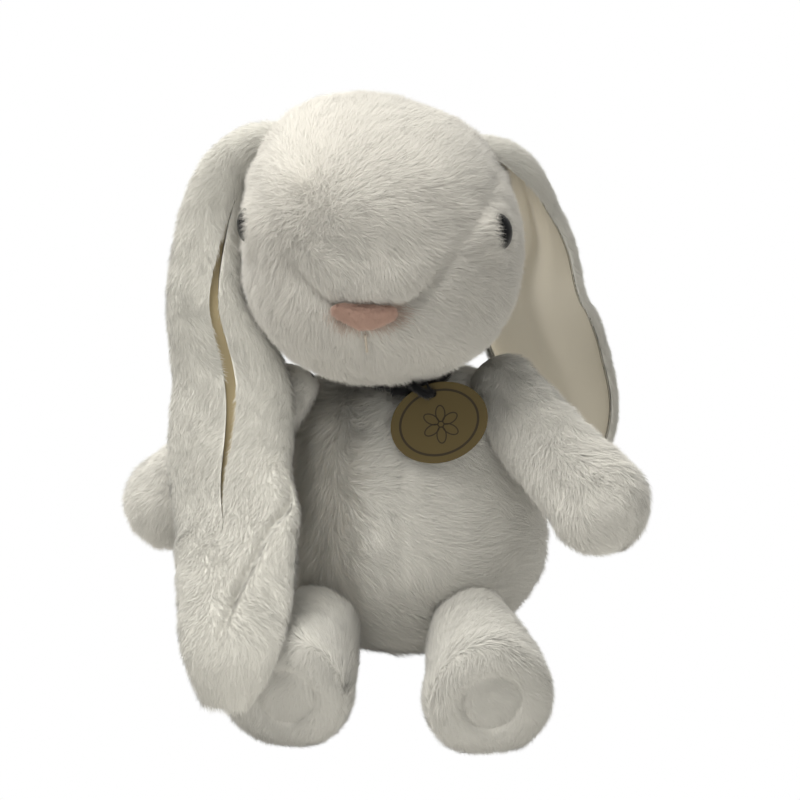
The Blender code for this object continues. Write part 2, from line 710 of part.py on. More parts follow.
build_torso(limb_sockets())
build_tail()
build_head()
build_nose()
build_ear("right", EAR_RIGHT_LINE, EAR_RIGHT_SLOT, EAR_RIGHT_YAW)
build_ear("left", EAR_LEFT_LINE, EAR_LEFT_SLOT, EAR_LEFT_YAW)
for SIDE, SIGN in (("left", 1), ("right", -1)):
    build_arm(SIDE, SIGN)
    build_leg(SIDE, SIGN)
build_ribbon()
build_tag()
build_labels()
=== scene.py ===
"""Looks of the seated plush rabbit: its pile, skins, face, ears, ribbon, tag and lighting."""
import math

import bpy
import numpy as np
from mathutils import Matrix, Vector


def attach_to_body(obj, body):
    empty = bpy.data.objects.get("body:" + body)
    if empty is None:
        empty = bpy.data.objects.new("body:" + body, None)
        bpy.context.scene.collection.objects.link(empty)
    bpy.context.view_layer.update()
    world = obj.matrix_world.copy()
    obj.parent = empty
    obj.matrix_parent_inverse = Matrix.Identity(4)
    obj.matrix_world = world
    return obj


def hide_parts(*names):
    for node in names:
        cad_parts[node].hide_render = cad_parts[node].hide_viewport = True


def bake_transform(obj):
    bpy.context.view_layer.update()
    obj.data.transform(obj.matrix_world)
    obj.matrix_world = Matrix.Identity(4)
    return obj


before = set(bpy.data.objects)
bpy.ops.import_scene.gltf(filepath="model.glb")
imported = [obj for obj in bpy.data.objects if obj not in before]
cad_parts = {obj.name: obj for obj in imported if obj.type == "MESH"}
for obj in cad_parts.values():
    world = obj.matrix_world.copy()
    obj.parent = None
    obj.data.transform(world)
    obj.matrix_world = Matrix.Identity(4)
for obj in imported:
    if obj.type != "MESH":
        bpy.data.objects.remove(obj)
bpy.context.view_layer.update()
MM = 0.001
UP = np.array((0.0, 0.0, 1.0))

# ---------------------------------------------------------------- the toy's sizes, as in the CAD part
TORSO_HALF_WIDTH = 64.5 * MM
TORSO_DEPTH_RATIO = 0.94
TORSO_FORWARD = -2 * MM
TORSO_WIDEST_Z = 50 * MM
TORSO_TOP_Z = 126 * MM
NECK = np.array((-3, -8, 128)) * MM
NECK_RADIUS = 20 * MM
HEAD_CENTRE = np.array((-9, -12, 190.4)) * MM
HEAD_HALF = np.array((57.5, 61, 60)) * MM
CROWN_LEAN = 10 * MM
EYE_RADIUS = 8.2 * MM
NOSE_DIRECTION = (-3, -63, -17.5)
EYE_DIRECTION = {"left": (51, -33, 12), "right": (-55, -27, 12)}
DOME_X = -2.8 * MM
DOME_Z = 18.8 * MM
DOME_RADIUS = 33.5 * MM
GUSSET_FOOT = HEAD_CENTRE[2] - 17 * MM
GUSSET_HALF = 13 * MM
GUSSET_SLOPE = 66 / 90
ARM_LENGTH = 77 * MM
ARM_ROOT_RADIUS = 15 * MM
PAW_RADIUS = 20 * MM
ARM_FLATTEN = 0.93
SHOULDER = {"left": np.array((44, -8, 120)) * MM, "right": np.array((-53, -8, 114)) * MM}
SHOULDER_SWELLS = np.array(((-42, -2, 119), (34, 0, 123))) * MM
ARM_DROOP = {"left": 23, "right": 43}
ARM_FORWARD = {"left": 53, "right": 0}
LEG_ROOT_RADIUS = 14 * MM
FOOT_RADIUS = 25 * MM
HIP = np.array((33, -52, 25)) * MM
LEG_LENGTH = 75 * MM
LEG_SPLAY = {"left": 8, "right": 6}
SOLE_RADIUS = 17.5 * MM
SOLE_DEPTH = 12 * MM
BASE_RADIUS = 27.3 * MM
BASE_SLOPE = 9
TAIL_CENTRE = np.array((0, 74, 32)) * MM
TAIL_RADIUS = 15 * MM
RIBBON_RADIUS = 28 * MM
RIBBON_Z = 128.4 * MM
KNOT = np.array((11, -35.6, 130.4)) * MM
TAG_CENTRE = Vector((18, -47.5, 117.5)) * MM
TAG_HALF = (21.6 * MM, 17.4 * MM)
TAG_THICK = 1.6 * MM
TAG_LEAN = 22
TAG_ROLL = 20
TAG_HOLE = Vector((-3.4, 12.6, 0)) * MM
TAG_HOLE_RADIUS = 1.9 * MM

# Each ear: centre line with half width and half depth (mm), then the middle and half angle
# (degrees) of the part left open at its front.  The first stations run into the head.
EAR_RIGHT = [
    (-38, -8, 226, 7, 6, 50, 1),
    (-54, -8, 230, 9, 6, 50, 1),
    (-67, -8, 228.5, 10, 6.5, 50, 1),
    (-79.5, -9, 215.5, 12, 7, 46, 1),
    (-86.5, -13, 192, 14, 9, 34, 5),
    (-86.5, -24, 161, 17.5, 10, 18, 7.5),
    (-75.5, -34, 126, 26.5, 9.5, 5, 5.5),
    (-73.5, -54, 95, 27, 9, 0, 3),
    (-67, -79, 76.5, 28, 8, -6, 0.7),
    (-63.5, -108, 65, 24.5, 7, -8, 0.2),
    (-62, -138, 48.5, 19, 6, -8, 0.2),
    (-64, -142, 27, 9, 4.5, -8, 0.2),
]
EAR_LEFT = [
    (21, 0, 224, 6, 6, 0, 16),
    (33, 3, 226, 7, 7, 0, 16),
    (44, 8, 221, 8, 8, 0, 24),
    (51, 14, 211, 10, 8, 0, 48),
    (56.5, 22, 196, 12, 8, 0, 66),
    (60, 28, 177, 18.5, 9, 0, 74),
    (57.5, 31, 151, 29.5, 9, 0, 76),
    (66, 38, 120, 30, 9, 0, 76),
    (75, 45, 92, 26, 8, 0, 76),
    (70, 51, 66, 21, 7, 0, 74),
    (61, 57, 44.5, 10, 4.5, 0, 66),
]
EAR_YAW = {"right": 0, "left": -26}
CLOTH_THICK = 1.4 * MM
LINING_THICK = 1.1 * MM
LINING_INSET = {"left": 1.0 * MM, "right": 4.2 * MM}

# What each random draw starts from.
SEEDS = {"torso": 7, "head": 27, "nose": 57, "nose_edge": 68, "warm": 69, "arm": 87, "leg": 127,
         "ear_right": 167, "ear_left": 187, "ribbon": 207, "knot": 217, "bow": 237, "tail": 307}


# ---------------------------------------------------------------- number helpers
def unit(v):
    """The vectors at unit length."""
    return v / np.maximum(np.linalg.norm(v, axis=-1, keepdims=True), 1e-12)


def dot(a, b):
    return np.sum(a * b, axis=-1, keepdims=True)


def tangent(v, n):
    """The part of v that lies along the surface with normal n, at unit length."""
    return unit(v - n * dot(v, n))


def noise(points, size, seed, terms=14):
    """Smooth wandering values of about -1 to 1 whose bumps are about size across."""
    rng = np.random.default_rng(seed)
    waves = unit(rng.normal(size=(terms, 3))) * rng.uniform(0.6, 1.5, (terms, 1)) * math.pi / size
    phase = rng.uniform(0, 2 * math.pi, terms)
    return np.sin(points @ waves.T + phase).sum(axis=-1) / math.sqrt(terms / 2) * 0.7


def bump(x, width):
    """1 where x is 0, falling to nothing a few widths away."""
    return np.exp(-(x / width) ** 2)


def smooth(low, high, x):
    """0 up to low and 1 from high on, easing between; high may be the smaller one."""
    t = np.clip((x - low) / (high - low), 0, 1)
    return t * t * (3 - 2 * t)


def turn_about(v, axis, angle):
    """Turns v about a unit axis at right angles to it."""
    return v * np.cos(angle)[..., None] + np.cross(axis, v) * np.sin(angle)[..., None]


# ---------------------------------------------------------------- skins and pile
class Skin:
    """A grid of points over a soft surface: normals, which way its pile lies and how long."""

    def __init__(self, points, closed=True, middle=None, outward=1.0):
        self.points = points
        self.closed = closed
        if closed:
            across = np.roll(points, -1, 1) - np.roll(points, 1, 1)
        else:
            across = np.gradient(points, axis=1)
        self.normals = unit(np.cross(across, np.gradient(points, axis=0)))
        if middle is not None:
            outward = np.sign(np.sum(self.normals * (points - middle)))
        self.normals *= outward
        self.flip = outward < 0
        self.pile = np.ones(points.shape[:2])
        self.loose = np.zeros(points.shape[:2])
        self.flow = None

    def comb(self, direction):
        """Lays the pile along a direction, or along one direction for each point."""
        self.flow = tangent(np.broadcast_to(direction, self.points.shape), self.normals)
        return self

    def corners(self):
        """Row and column of each cell's four corners."""
        rows, columns = self.points.shape[:2]
        last = columns if self.closed else columns - 1
        i, j = np.meshgrid(np.arange(rows - 1), np.arange(last), indexing="ij")
        i, j = i.ravel(), j.ravel()
        k = (j + 1) % columns
        return (i, j), (i, k), (i + 1, k), (i + 1, j)

    def scatter(self, count, rng):
        """count roots spread evenly over the skin: point, normal, flow, pile share, looseness."""
        a, b, c, d = self.corners()
        p = self.points
        area = np.linalg.norm(np.cross(p[c] - p[a], p[d] - p[b]), axis=1)
        area *= 0.25 * (self.pile[a] + self.pile[b] + self.pile[c] + self.pile[d]) > 0.02
        total = np.cumsum(area)
        pick = np.searchsorted(total, (np.arange(count) + rng.random(count)) / count * total[-1])
        pick = np.minimum(pick, len(area) - 1)
        u, v = rng.random((2, count, 1))

        def at(values):
            values = values if values.ndim == 3 else values[..., None]
            return ((values[a][pick] * (1 - u) + values[b][pick] * u) * (1 - v)
                    + (values[d][pick] * (1 - u) + values[c][pick] * u) * v)

        normal = unit(at(self.normals))
        flow = tangent(at(self.flow), normal)
        return at(p), normal, flow, at(self.pile)[:, 0], at(self.loose)[:, 0]


def strands(skin, count, seed, pile, width=0.28 * MM, rise=26, swirl=24, tuft=1.8 * MM,
            gather=0.44):
    """Tapered three-sided strands of pile: roots, four corners each and shading normals."""
    rng = np.random.default_rng(seed)
    p, n, f, share, loose = skin.scatter(count, rng)
    length = (pile * share * rng.uniform(0.6, 1.12, count))[:, None]
    wander = (noise(p, 26 * MM, seed + 1) + 0.7 * noise(p, 10 * MM, seed + 2)
              + 0.45 * noise(p, 4 * MM, seed + 3))
    f = turn_about(f, n, math.radians(swirl) * wander
                   + rng.normal(0, 1, count) * (0.16 + 1.4 * loose))
    lift = math.radians(rise) * (1 + 0.22 * noise(p, 7 * MM, seed + 4)
                                 + rng.normal(0, 0.16, count) + 1.1 * loose)[:, None]
    way = n * np.sin(lift) + f * np.cos(lift)
    warp = np.stack([noise(p, 8 * MM, seed + k) for k in (5, 6, 7)], axis=-1) * tuft
    moved = (p + warp) / tuft
    pull = (np.floor(moved) + 0.5 - moved) * tuft
    pull -= n * dot(pull, n)
    tip = p + way * length + pull * gather
    side = np.cross(f, n)
    crown = np.cross(side, way)
    half = (0.5 * width * rng.uniform(0.75, 1.2, count))[:, None]
    corners = np.stack((p - side * half - crown * half * 0.5,
                        p + side * half - crown * half * 0.5, p + crown * half, tip), 1)
    corners[..., 2] = np.maximum(corners[..., 2], 0.25 * MM)
    tilt = side * rng.normal(0, 0.26, count)[:, None] + f * rng.normal(-0.1, 0.2, count)[:, None]
    shade = np.stack((n + tilt - side * 0.2, n + tilt + side * 0.2, n + tilt,
                      n + tilt + f * 0.2), 1)
    return p, corners, unit(shade)


def plain_mesh(name, points, faces, look):
    """An object from points and faces, shaded flat."""
    mesh = bpy.data.meshes.new(name)
    mesh.from_pydata(points.tolist(), [], faces.tolist())
    mesh.materials.append(look)
    obj = bpy.data.objects.new(name, mesh)
    bpy.context.scene.collection.objects.link(obj)
    return obj


def put_mesh(name, pieces, look):
    """One mesh object from (points, normals, list of face arrays) pieces."""
    points = np.concatenate([piece[0].reshape(-1, 3) for piece in pieces])
    normals = np.concatenate([piece[1].reshape(-1, 3) for piece in pieces])
    loops, sizes, base = [], [], 0
    for spots, _, faces in pieces:
        for group in faces:
            loops.append((group + base).ravel())
            sizes.append(np.full(len(group), group.shape[1]))
        base += len(spots.reshape(-1, 3))
    loops = np.concatenate(loops).astype(np.int32)
    sizes = np.concatenate(sizes)
    starts = np.concatenate(([0], np.cumsum(sizes)[:-1])).astype(np.int32)
    mesh = bpy.data.meshes.new(name)
    mesh.vertices.add(len(points))
    mesh.vertices.foreach_set("co", points.astype(np.float32).ravel())
    mesh.loops.add(len(loops))
    mesh.loops.foreach_set("vertex_index", loops)
    mesh.polygons.add(len(starts))
    mesh.polygons.foreach_set("loop_start", starts)
    mesh.update(calc_edges=True)
    mesh.shade_smooth()
    free = mesh.attributes.new("custom_normal", "FLOAT_VECTOR", "POINT")
    free.data.foreach_set("vector", normals.astype(np.float32).ravel())
    mesh.materials.append(look)
    obj = bpy.data.objects.new(name, mesh)
    bpy.context.scene.collection.objects.link(obj)
    return obj


def skin_piece(skin, keep=None):
    """The skin's own cloth as a mesh piece, or the part of it whose cell middles keep allows."""
    a, b, c, d = skin.corners()
    columns = skin.points.shape[1]
    quads = np.stack([i * columns + j for i, j in (a, b, c, d)], 1)
    if skin.flip:
        quads = quads[:, ::-1]
    points = skin.points.reshape(-1, 3)
    if keep is not None:
        quads = quads[keep(points[quads].mean(axis=1))]
    used, packed = np.unique(quads, return_inverse=True)
    return points[used], skin.normals.reshape(-1, 3)[used], [packed.reshape(quads.shape)]


def strand_piece(grown, keep=None):
    """The strands as a mesh piece, or those whose roots keep allows."""
    roots, corners, shade = grown
    if keep is not None:
        mask = keep(roots)
        corners, shade = corners[mask], shade[mask]
    base = np.arange(len(corners))[:, None] * 4
    faces = [base + np.array(face) for face in ((1, 0, 3), (0, 2, 3), (2, 1, 3))]
    return corners, shade, faces


def attach(obj, body, slot, *nodes):
    """Makes an object ride a body and hides the CAD nodes it stands for; its slot is not used."""
    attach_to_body(obj, body)
    if nodes:
        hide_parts(*nodes)
    return obj


def plush(name, body, skin, grown, node, keep=None, look=None):
    """One sewn panel: its cloth and its pile, standing for the CAD node of that name."""
    pieces = [skin_piece(skin, keep), strand_piece(grown, keep)]
    return attach(put_mesh(name, pieces, look or PLUSH), body, "plush", node)


# ---------------------------------------------------------------- materials
def material(name, colour, roughness=0.8, sheen=0.0, sheen_roughness=0.5, specular=0.3):
    mat = bpy.data.materials.new(name)
    mat.use_nodes = True
    shader = mat.node_tree.nodes["Principled BSDF"]
    shader.inputs["Base Color"].default_value = (*colour, 1)
    shader.inputs["Roughness"].default_value = roughness
    shader.inputs["Sheen Weight"].default_value = sheen
    shader.inputs["Sheen Roughness"].default_value = sheen_roughness
    shader.inputs["Specular IOR Level"].default_value = specular
    mat.diffuse_color = (*colour, 1)
    return mat


PLUSH = material("plush_pile", (0.93, 0.91, 0.845), 0.75, 0.25, 0.5, 0.15)
# painted shade: tan pile for the right ear's shadow on the body's right front
PAINTED_SHADE_TAN = material("plush_painted_shade", (0.97, 0.80, 0.54), 0.8, 0.2, 0.5, 0.1)
# painted shade: the head, legs and ears have the body's white plush in these darker copies, for how
# the lamps light them, the legs' also for the right ear's shadow
HEAD_PLUSH_SHADED = material("head_pile_shaded", (0.82, 0.795, 0.735), 0.75, 0.25, 0.5, 0.15)
LEG_PLUSH_SHADED = material("leg_pile_shaded", (0.785, 0.77, 0.715), 0.75, 0.25, 0.5, 0.15)
EAR_PLUSH_SHADED = material("ear_pile_shaded", (0.785, 0.77, 0.71), 0.75, 0.25, 0.5, 0.15)
LINING = material("ear_lining", (0.97, 0.91, 0.78), 0.9, 0.2, 0.6, 0.1)
BLACK = material("eye_black", (0.004, 0.004, 0.005), 0.25, specular=0.12)
# painted shade: a darker pink-beige for the fuzz round the nose's edge, partly the nose's own pink
NOSE_EDGE_PINK_AND_SHADE = material("nose_edge", (0.66, 0.54, 0.46), 0.8, 0.25, 0.5, 0.15)
PINK = material("nose_cloth", (0.63, 0.42, 0.34), 0.9, 0.2, 0.5, 0.1)
CORD = material("ribbon_black", (0.012, 0.012, 0.014), 0.7, 0.1, 0.4, 0.3)
CARD = material("tag_card", (0.105, 0.079, 0.033), 0.5, specular=0.12)
INK = material("tag_ink", (0.035, 0.026, 0.014), 0.6, specular=0.2)
# painted shade: a darker copy of the lining, for the right ear's lining down in its shadowed slot
SHADED_LINING = material("ear_lining_shaded", (0.46, 0.38, 0.23), 0.9, 0.2, 0.6, 0.1)
THREAD = material("sewing_thread", (0.75, 0.68, 0.60), 0.7)
# painted shade: the mouth thread is darker than the sewing thread, in the shaded tone of the fur round
# the mouth
MOUTH = material("mouth_thread", (0.50, 0.44, 0.37), 0.8)
SATIN = material("label_satin", (0.85, 0.84, 0.80), 0.35)


# ---------------------------------------------------------------- torso
def torso_skin():
    """The pear-shaped body with its seams drawn in and a short neck that runs into the head."""
    rows, columns = 64, 112
    level = np.sin(np.radians(np.linspace(-89.5, 84, rows)))
    across = np.sqrt(np.maximum(0, 1 - level ** 2))
    below = level < 0
    radius = np.where(below, across ** 0.8,
                      (1 - 0.44 * np.abs(level) ** 1.5) * np.sqrt(1 - level ** 10))
    height = np.where(below, TORSO_WIDEST_Z * (1 - np.minimum(1, 1.1 * np.abs(level) ** 0.95)),
                      TORSO_WIDEST_Z + (TORSO_TOP_Z - TORSO_WIDEST_Z) * level)
    angle = np.linspace(0, 2 * math.pi, columns, endpoint=False)
    ring = np.stack((np.cos(angle), np.sin(angle) * TORSO_DEPTH_RATIO, 0 * angle), -1)
    points = ring[None] * (radius * TORSO_HALF_WIDTH)[:, None, None]
    points[..., 2] = height[:, None]
    points[..., 1] += TORSO_FORWARD
    neck = np.broadcast_to(ring[None] * NECK_RADIUS, (3, columns, 3)).copy()
    neck[..., :2] += NECK[:2]
    neck[..., 2] = (np.array((126.5, 130, 138)) * MM)[:, None]
    points = np.concatenate((points, neck))
    skin = Skin(points, middle=np.array((0, 0, 0.06)))
    x, y, z = np.moveaxis(points, -1, 0)
    side = np.minimum(np.abs(x), np.abs(y - TORSO_FORWARD))
    seam = bump(side, 2.6 * MM) * smooth(0.004, 0.02, z) * smooth(0.126, 0.110, z)
    wobble = noise(points, size=34 * MM, seed=41)
    puff = 1.1 * MM * wobble * smooth(0.0, 0.02, z) * smooth(0.126, 0.1, z)
    for shoulder in SHOULDER_SWELLS:
        puff += 7 * MM * bump(np.linalg.norm(points - shoulder, axis=-1), 13 * MM)
    skin.points = points + skin.normals * (puff - 1.3 * MM * seam)[..., None]
    skin.pile = smooth(0.0004, 0.004, z) * smooth(0.131, 0.124, z)
    # on the front the pile lies down on the right and across to the left; behind, it lies down
    aside = smooth(-0.042, -0.014, x)
    away = np.stack((0.95 * aside - 0.15 * (1 - aside), 0 * x, -0.3 - 0.7 * (1 - aside)), -1)
    back = np.stack((0.25 * np.tanh(x / 0.03), 0 * x, -np.ones_like(x)), -1)
    share = smooth(-0.02, 0.03, y)[..., None]
    return skin.comb(away * (1 - share) + back * share)


def on_base(p):
    """True for points on the flat panel underneath the body."""
    return np.hypot(p[:, 0], p[:, 1]) + BASE_SLOPE * p[:, 2] <= BASE_RADIUS


def build_torso():
    skin = torso_skin()
    grown = strands(skin, count=200000, seed=SEEDS["torso"], pile=8 * MM, rise=26, swirl=26)
    for side, sign in (("left", 1), ("right", -1)):
        for face, way in (("front", -1), ("back", 1)):
            def keep(p, sign=sign, way=way):
                on_side = (p[:, 0] * sign > 0) & ((p[:, 1] - TORSO_FORWARD) * way > 0)
                return on_side & ~on_base(p)
            plush(f"body_{face}_{side}", "torso", skin, grown, f"body_{face}_{side}", keep)

    # painted shade: a tan tint among the pile of the right front, for the right ear's shadow with the
    # lining's colour bounced into it, on the same strands as the panel's
    x, y, z = grown[0].T
    share = smooth(-0.010, -0.026, x) * smooth(0.0, -0.02, y) * 0.9
    warm = (np.random.default_rng(SEEDS["warm"]).random(len(x)) < share) & (z > 0.02)
    tan = put_mesh("body_painted_shade_pile", [strand_piece([g[warm] for g in grown])], PAINTED_SHADE_TAN)
    attach(tan, "torso", "plush")
    base = put_mesh("base_panel_cloth", [skin_piece(skin, on_base)], PLUSH)
    attach(base, "torso", "plush", "base_panel")


def build_tail():
    lat = np.radians(np.linspace(-89, 89, 30))
    angle = np.linspace(0, 2 * math.pi, 44, endpoint=False)
    ball = np.stack((np.cos(lat)[:, None] * np.cos(angle), np.cos(lat)[:, None] * np.sin(angle),
                     np.sin(lat)[:, None] + 0 * angle), -1)
    skin = Skin(TAIL_CENTRE + ball * TAIL_RADIUS, middle=TAIL_CENTRE)
    skin.comb(ball * 0.2 + np.array((0, 0.6, -0.6)))
    grown = strands(skin, count=16000, seed=SEEDS["tail"], pile=8 * MM, rise=36)
    plush("tail_pile", "torso", skin, grown, "tail_cover")


# ---------------------------------------------------------------- head
def head_shape(n):
    """Surface points of the head in unit directions n from its centre."""
    cheek = np.exp(-((n[..., 2] + 0.32) / 0.38) ** 2) * np.abs(n[..., 0])
    muzzle = np.where(n[..., 1] < 0,
                      np.exp(-((n[..., 2] + 0.22) ** 2 + n[..., 0] ** 2) / 0.16), 0)
    power = 2.35
    full = (np.abs(n) ** power).sum(axis=-1) ** (-1 / power)
    points = n * full[..., None] * HEAD_HALF
    points[..., 0] *= 1 + 0.05 * cheek
    points[..., 0] -= CROWN_LEAN * np.maximum(0, n[..., 2] * full) ** 2
    points[..., 1] -= 3 * MM * muzzle
    return points


def head_spot(direction):
    """A point on the head and the outward normal there."""
    n = unit(np.array(direction, float))
    side = unit(np.cross(n, UP))
    other = np.cross(n, side)
    here = head_shape(n)
    normal = unit(np.cross(head_shape(unit(n + side * 0.02)) - here,
                           head_shape(unit(n + other * 0.02)) - here))
    if np.dot(normal, n) < 0:
        normal = -normal
    return HEAD_CENTRE + here, normal


def gusset_offset(p):
    """Distance outside the gusset's seam, measured across it; negative is on the gusset."""
    x = np.abs(p[..., 0] - HEAD_CENTRE[0])
    z = p[..., 2] - GUSSET_FOOT
    wide = math.hypot(1, GUSSET_SLOPE)
    return np.maximum((x - GUSSET_HALF - GUSSET_SLOPE * z) / wide, -z)


def head_skin():
    """The head's surface with its muzzle, cheeks, mouth and eye rims, combed."""
    rows, columns = 110, 150
    lat = np.radians(np.linspace(-89.4, 89.4, rows))
    angle = np.linspace(0, 2 * math.pi, columns, endpoint=False)
    n = np.stack((np.cos(lat)[:, None] * np.cos(angle), np.cos(lat)[:, None] * np.sin(angle),
                  np.sin(lat)[:, None] + 0 * angle), -1)
    points = HEAD_CENTRE + head_shape(n)
    skin = Skin(points, middle=HEAD_CENTRE)
    x, y, z = np.moveaxis(points - HEAD_CENTRE, -1, 0)
    front = smooth(-0.02, -0.045, y)
    off = gusset_offset(points)
    # the muzzle: a round dome whose lower edge is a crease that runs down to the nose
    from_dome = np.hypot(x - DOME_X, z - DOME_Z)
    below = smooth(0.012, -0.004, z)
    dent = 4.6 * MM * bump(from_dome - DOME_RADIUS, 3.4 * MM) * below * front
    dent += 0.7 * MM * bump(off, 2.4 * MM)
    swell = 3.2 * MM * bump(from_dome - 23 * MM, 9 * MM) * smooth(0.02, -0.002, z) * front
    cheek_x = np.abs(x) - 31 * MM
    swell += 3.0 * MM * bump(np.hypot(cheek_x, z + 27 * MM), 17 * MM) * front
    # the mouth: a shallow line under the nose that ends in a pit, and a hollow beside the nose
    nose_x = NOSE_DIRECTION[0] * MM
    middle = 1.7 * MM * bump(x - nose_x, 2.6 * MM)
    middle *= smooth(-0.018, -0.026, z) * smooth(-0.056, -0.04, z)
    pit = 3.2 * MM * bump(np.hypot((x - nose_x) * 0.7, z + 33 * MM), 5.5 * MM)
    hollow = 2.4 * MM * bump(np.hypot((x - 20 * MM) * 0.8, z + 13 * MM), 6 * MM)
    dent += (middle + pit + hollow) * front
    # a soft rim round each eye, higher on the side towards the nose
    for side in ("left", "right"):
        spot, normal = head_spot(EYE_DIRECTION[side])
        swell += 1.8 * MM * bump(np.linalg.norm(points - spot, axis=-1) - 9 * MM, 3.5 * MM)
        before = spot + tangent(np.array((0, -1.0, 0.1)), normal) * 10 * MM
        height = (3.4 if side == "left" else 1.4) * MM
        swell += height * bump(np.linalg.norm(points - before, axis=-1), 9 * MM)
    swell += 0.7 * MM * noise(points, size=30 * MM, seed=61)
    skin.points = points + skin.normals * (swell - dent)[..., None]
    skin = refresh(skin)
    # the pile runs away from one spot on the brow, where it stands up
    parting = unit(np.array((-0.50, -0.74, 0.46)))
    away = unit(points - HEAD_CENTRE) - parting
    skin.comb(away + np.array((0.0, 0.05, -0.12)))
    skin.loose = bump(np.linalg.norm(away, axis=-1), 0.30)
    return skin


def refresh(skin):
    """The same skin with its normals worked out again after it was pushed about."""
    again = Skin(skin.points, skin.closed, skin.points.mean(axis=(0, 1)))
    again.pile = skin.pile
    return again


def build_head():
    skin = head_skin()
    grown = strands(skin, count=250000, seed=SEEDS["head"], pile=7.2 * MM, width=0.25 * MM,
                    rise=27, swirl=22)
    roots, corners, shade = grown
    clear = np.ones(len(roots), bool)
    for side in ("left", "right"):
        spot, _ = head_spot(EYE_DIRECTION[side])
        clear &= np.linalg.norm(roots - spot, axis=1) > EYE_RADIUS * 0.8
    nose_spot, _ = head_spot(NOSE_DIRECTION)
    off = roots - nose_spot
    clear &= np.hypot(off[:, 0] / 9.5, (off[:, 2] - 0.6 * MM) / 3.6) > MM
    # shorter above the nose and under the chin
    above = bump(np.hypot(off[:, 0] / 1.6, off[:, 2] - 9 * MM), 8 * MM) * (roots[:, 1] < -0.03)
    trim = 1 - 0.3 * above
    trim *= np.where(roots[:, 2] < 0.128, 0.6, 1)
    corners = roots[:, None] + (corners - roots[:, None]) * trim[:, None, None]
    grown = roots[clear], corners[clear], shade[clear]
    # the strands round the nose take on some of its colour, darker: pink fuzz and painted shade round
    # the nose's edge
    reach = np.hypot(off[clear, 0] / 15.5, (off[clear, 2] - 0.6 * MM) / 6.5) / MM
    ragged = np.random.default_rng(SEEDS["nose_edge"]).normal(0, 0.12, len(reach))
    pink_and_shaded = reach + ragged < 1
    pink_and_shaded &= grown[0][:, 1] < nose_spot[1] + 6 * MM
    edge = put_mesh("nose_edge_pile", [strand_piece([g[pink_and_shaded] for g in grown])], NOSE_EDGE_PINK_AND_SHADE)
    attach(edge, "head", "plush")
    grown = [g[~pink_and_shaded] for g in grown]

    def on_gusset(p):
        return gusset_offset(p) < 0
    plush("head_gusset", "head", skin, grown, "head_gusset", on_gusset, HEAD_PLUSH_SHADED)
    for side, sign in (("left", 1), ("right", -1)):
        def on_side(p, sign=sign):
            return (gusset_offset(p) >= 0) & ((p[:, 0] - HEAD_CENTRE[0]) * sign > 0)
        plush(f"head_side_{side}", "head", skin, grown, f"head_side_{side}", on_side, HEAD_PLUSH_SHADED)


def aim(direction, up=(0, 1, 0)):
    z_axis = Vector(direction).normalized()
    x_axis = Vector(up).cross(z_axis).normalized()
    return Matrix((x_axis, z_axis.cross(x_axis), z_axis)).transposed().to_4x4()


def turned(profile, columns=48):
    """Points of a turned surface from (radius, height) pairs, about Z."""
    profile = np.array(profile)
    angle = np.linspace(0, 2 * math.pi, columns, endpoint=False)
    return np.stack((profile[:, :1] * np.cos(angle), profile[:, :1] * np.sin(angle),
                     profile[:, 1:] + 0 * angle), -1)


def moved(points, matrix):
    m = np.array(matrix)
    return points @ m[:3, :3].T + m[:3, 3]


def build_eyes():
    for side in ("left", "right"):
        spot, normal = head_spot(EYE_DIRECTION[side])
        place = Matrix.Translation(Vector(spot + normal * 1.0 * MM)) @ aim(normal)
        a = np.radians(np.linspace(0, 89.5, 18))
        dome = np.stack((EYE_RADIUS * np.cos(a), EYE_RADIUS * 0.72 * np.sin(a)), -1)
        skirt = np.array(((2.2, -9), (2.2, -0.4), (7.6, -0.4))) * MM
        skin = Skin(moved(turned(np.concatenate((skirt, dome))), place), middle=spot - normal * 2 * MM)
        eye = put_mesh(f"eye_{side}_dome", [skin_piece(skin)], BLACK)
        attach(eye, "head", "eye_plastic", f"eye_{side}")


def rounded_outline(corners, radius, columns):
    """A closed outline round a polygon's corners, given counter-clockwise, at a radius."""
    corners = np.array(corners)
    path = []
    for before, here, after in zip(np.roll(corners, 1, 0), corners, np.roll(corners, -1, 0)):
        start = math.atan2(*(here - before)[::-1]) - math.pi / 2
        end = math.atan2(*(after - here)[::-1]) - math.pi / 2
        a = np.linspace(start, end + 2 * math.pi * (end < start), 16)
        path.append(here + np.stack((np.cos(a), np.sin(a)), -1) * radius)
    path = np.concatenate(path + [path[0][:1]])
    run = np.concatenate(([0], np.cumsum(np.linalg.norm(np.diff(path, axis=0), axis=1))))
    s = np.linspace(0, run[-1], columns, endpoint=False)
    return np.stack((np.interp(s, run, path[:, 0]), np.interp(s, run, path[:, 1]), 0 * s), -1)


def build_nose():
    """A padded pink cloth nose with a flat top, a narrow foot, round corners and a short nap."""
    spot, normal = head_spot(NOSE_DIRECTION)
    place = Matrix.Translation(Vector(spot + normal * 0.6 * MM)) @ aim(normal, (0, 0, 1))
    rings = 14
    corners = np.array(((10.6, 2.2), (-10.6, 2.2), (-2.4, -2.6), (2.4, -2.6))) * MM
    rim = rounded_outline(corners, 2.4 * MM, 60)
    level = np.linspace(0, 1, rings) ** 0.8
    reach = np.sqrt(1 - (level * 0.995) ** 2.2)
    points = rim[None] * reach[:, None, None]
    points[..., 2] += (level * 3.6 * MM)[:, None]
    skin = Skin(moved(points, place), middle=spot - normal * 4 * MM)
    skin.comb(np.array((0.3, 0, -1.0)))
    nap = strands(skin, count=12000, seed=SEEDS["nose"], pile=3.0 * MM, width=0.2 * MM, rise=30,
                  tuft=1.5 * MM)
    nose = put_mesh("nose_pad", [skin_piece(skin), strand_piece(nap)], PINK)
    attach(nose, "head", "nose_cloth", "nose")


